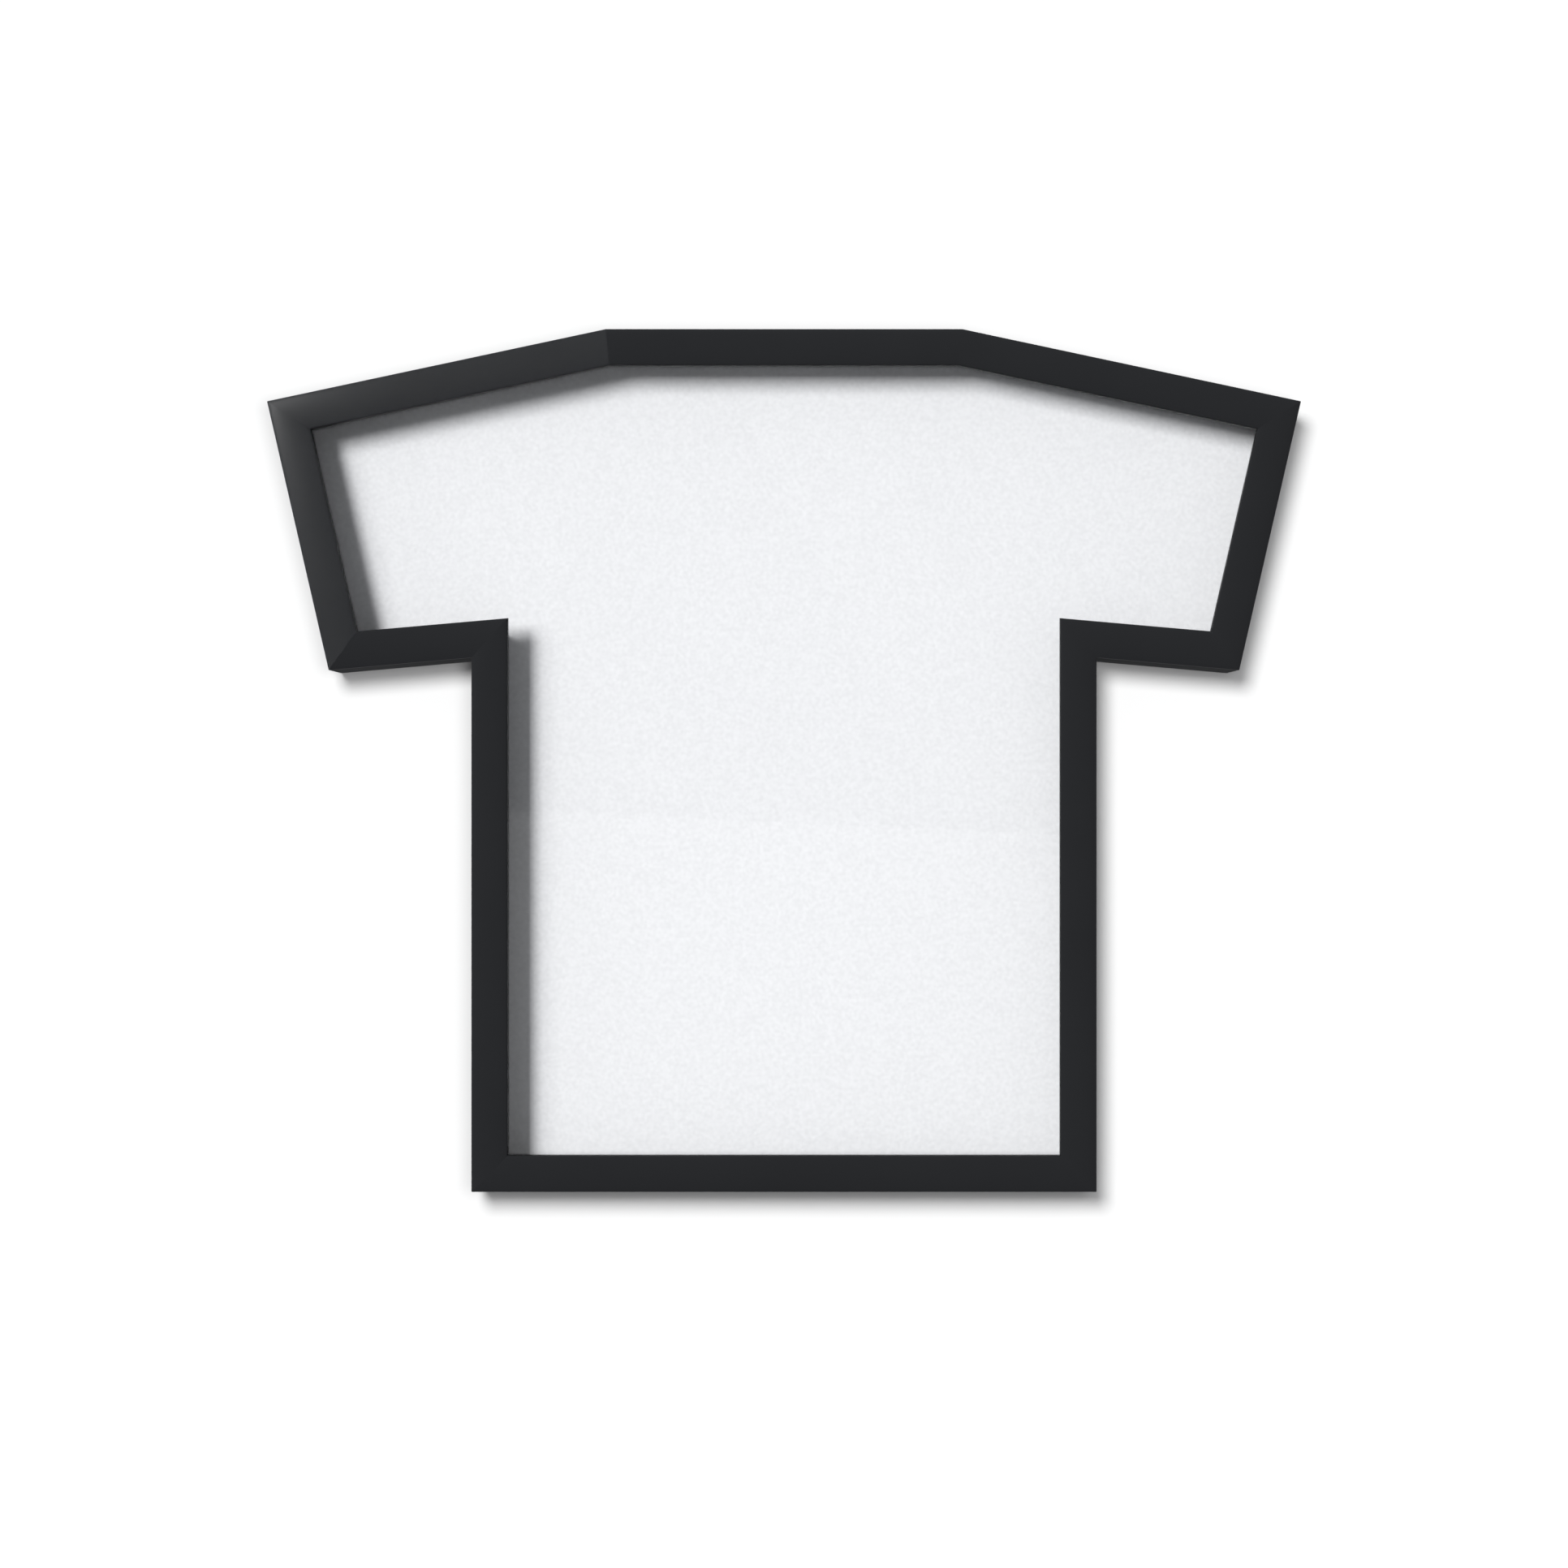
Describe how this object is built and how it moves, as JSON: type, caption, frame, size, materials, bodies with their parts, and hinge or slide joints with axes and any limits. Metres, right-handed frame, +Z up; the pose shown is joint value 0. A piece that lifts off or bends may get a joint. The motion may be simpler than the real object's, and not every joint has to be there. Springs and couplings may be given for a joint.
{
  "type": "jersey display frame",
  "caption": "Wall-hung shadow box in the outline of a short-sleeved shirt: black mitred rails, clear front panel, white shirt board, and turn buttons that hold the back.",
  "frame": {"origin": "the hanging point: on the wall plane, midway between the two sawtooth hangers, at the height of the roots of their teeth", "axes": "+X to the right as seen from the front, +Y into the wall, +Z up"},
  "size_m": [0.731, 0.042, 0.6101],
  "materials": {
    "lacquered_wood": "satin",
    "clear_panel": "polished",
    "white_board": "matte",
    "spacer_strip": "matte",
    "hardboard": "matte",
    "zinc_steel": "satin",
    "black_steel": "satin",
    "pad_rubber": "matte"
  },
  "bodies": {
    "frame": {"top_rail": "lacquered_wood", "right_shoulder_rail": "lacquered_wood", "right_cuff_rail": "lacquered_wood", "right_underarm_rail": "lacquered_wood", "right_side_rail": "lacquered_wood", "bottom_rail": "lacquered_wood", "left_side_rail": "lacquered_wood", "left_underarm_rail": "lacquered_wood", "left_cuff_rail": "lacquered_wood", "left_shoulder_rail": "lacquered_wood", "corner_nail_neck_left": "zinc_steel", "corner_nail_neck_right": "zinc_steel", "corner_nail_shoulder_right": "zinc_steel", "corner_nail_cuff_right": "zinc_steel", "corner_nail_armpit_right": "zinc_steel", "corner_nail_hem_right": "zinc_steel", "corner_nail_hem_left": "zinc_steel", "corner_nail_armpit_left": "zinc_steel", "corner_nail_cuff_left": "zinc_steel", "corner_nail_shoulder_left": "zinc_steel", "front_panel": "clear_panel", "top_spacer": "spacer_strip", "right_shoulder_spacer": "spacer_strip", "right_cuff_spacer": "spacer_strip", "right_underarm_spacer": "spacer_strip", "right_side_spacer": "spacer_strip", "bottom_spacer": "spacer_strip", "left_side_spacer": "spacer_strip", "left_underarm_spacer": "spacer_strip", "left_cuff_spacer": "spacer_strip", "left_shoulder_spacer": "spacer_strip", "shirt_board": "white_board", "backing_board": "hardboard", "button_screw_shoulder_right": "zinc_steel", "button_screw_cuff_right": "zinc_steel", "button_screw_side_right": "zinc_steel", "button_screw_hem_right": "zinc_steel", "button_screw_hem_left": "zinc_steel", "button_screw_side_left": "zinc_steel", "button_screw_cuff_left": "zinc_steel", "button_screw_shoulder_left": "zinc_steel", "sawtooth_hanger_left": "zinc_steel", "sawtooth_hanger_right": "zinc_steel", "hanger_tack_left_outer": "zinc_steel", "hanger_tack_left_inner": "zinc_steel", "hanger_tack_right_inner": "zinc_steel", "hanger_tack_right_outer": "zinc_steel", "wall_pad_shoulder_right": "pad_rubber", "wall_pad_hem_right": "pad_rubber", "wall_pad_hem_left": "pad_rubber", "wall_pad_shoulder_left": "pad_rubber"},
    "turn_button_shoulder_right": {"turn_button_shoulder_right": "black_steel"},
    "turn_button_cuff_right": {"turn_button_cuff_right": "black_steel"},
    "turn_button_side_right": {"turn_button_side_right": "black_steel"},
    "turn_button_hem_right": {"turn_button_hem_right": "black_steel"},
    "turn_button_hem_left": {"turn_button_hem_left": "black_steel"},
    "turn_button_side_left": {"turn_button_side_left": "black_steel"},
    "turn_button_cuff_left": {"turn_button_cuff_left": "black_steel"},
    "turn_button_shoulder_left": {"turn_button_shoulder_left": "black_steel"}
  },
  "joints": [
    {"name": "turn_shoulder_right", "type": "hinge", "parent": "frame", "child": "turn_button_shoulder_right", "pos_m": [0.19657, -0.0037, -0.01201], "axis": [0, 1, 0], "continuous": true},
    {"name": "turn_cuff_right", "type": "hinge", "parent": "frame", "child": "turn_button_cuff_right", "pos_m": [0.33736, -0.0037, -0.13502], "axis": [0, 1, 0], "continuous": true},
    {"name": "turn_side_right", "type": "hinge", "parent": "frame", "child": "turn_button_side_right", "pos_m": [0.2145, -0.0037, -0.41155], "axis": [0, 1, 0], "continuous": true},
    {"name": "turn_hem_right", "type": "hinge", "parent": "frame", "child": "turn_button_hem_right", "pos_m": [0.1105, -0.0037, -0.59385], "axis": [0, 1, 0], "continuous": true},
    {"name": "turn_hem_left", "type": "hinge", "parent": "frame", "child": "turn_button_hem_left", "pos_m": [-0.1105, -0.0037, -0.59385], "axis": [0, 1, 0], "continuous": true},
    {"name": "turn_side_left", "type": "hinge", "parent": "frame", "child": "turn_button_side_left", "pos_m": [-0.2145, -0.0037, -0.41155], "axis": [0, 1, 0], "continuous": true},
    {"name": "turn_cuff_left", "type": "hinge", "parent": "frame", "child": "turn_button_cuff_left", "pos_m": [-0.33736, -0.0037, -0.13502], "axis": [0, 1, 0], "continuous": true},
    {"name": "turn_shoulder_left", "type": "hinge", "parent": "frame", "child": "turn_button_shoulder_left", "pos_m": [-0.19657, -0.0037, -0.01201], "axis": [0, 1, 0], "continuous": true}
  ]
}
